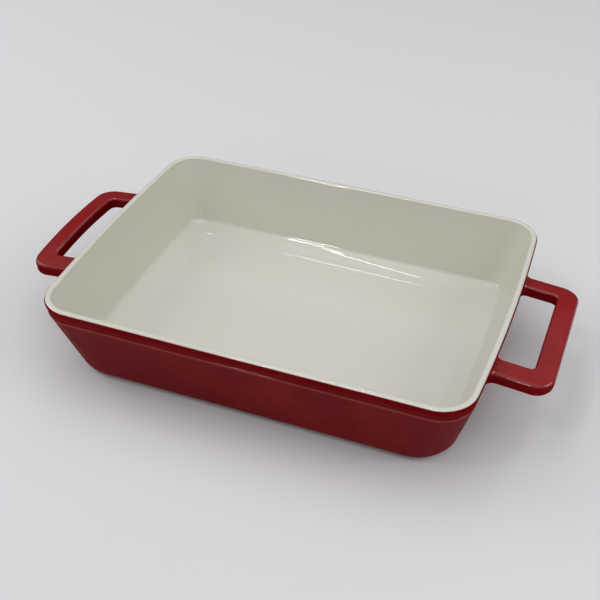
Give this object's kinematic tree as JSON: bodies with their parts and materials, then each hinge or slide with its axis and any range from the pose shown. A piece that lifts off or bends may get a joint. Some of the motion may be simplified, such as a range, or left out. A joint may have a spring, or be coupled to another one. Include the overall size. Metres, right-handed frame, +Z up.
{
  "type": "lasagna dish",
  "caption": "Rectangular glazed stoneware lasagna dish with tapered walls, a set-back collar under the rim and an arched loop handle on each end, cream inside and red outside.",
  "frame": {"origin": "on the ground, under the middle of the dish", "axes": "+Z up, +X along the dish through both handles, +Y across it towards the rear"},
  "size_m": [0.4202, 0.2514, 0.07],
  "materials": {
    "stoneware": "bare fired stoneware, matt and slightly sandy",
    "slip": "fired slip, matt",
    "cream_glaze": "glossy off-white glaze",
    "red_glaze": "glossy deep red glaze, thinner and lighter on ridges and edges"
  },
  "bodies": {
    "root": {"stoneware_tray": "stoneware", "handle_left": "stoneware", "handle_right": "stoneware", "slip_joint_left_front": "slip", "slip_joint_left_rear": "slip", "slip_joint_right_front": "slip", "slip_joint_right_rear": "slip", "cream_liner_glaze": "cream_glaze", "red_wall_glaze": "red_glaze", "red_underside_glaze": "red_glaze", "red_handle_glaze_left": "red_glaze", "red_handle_glaze_right": "red_glaze"}
  },
  "joints": []
}
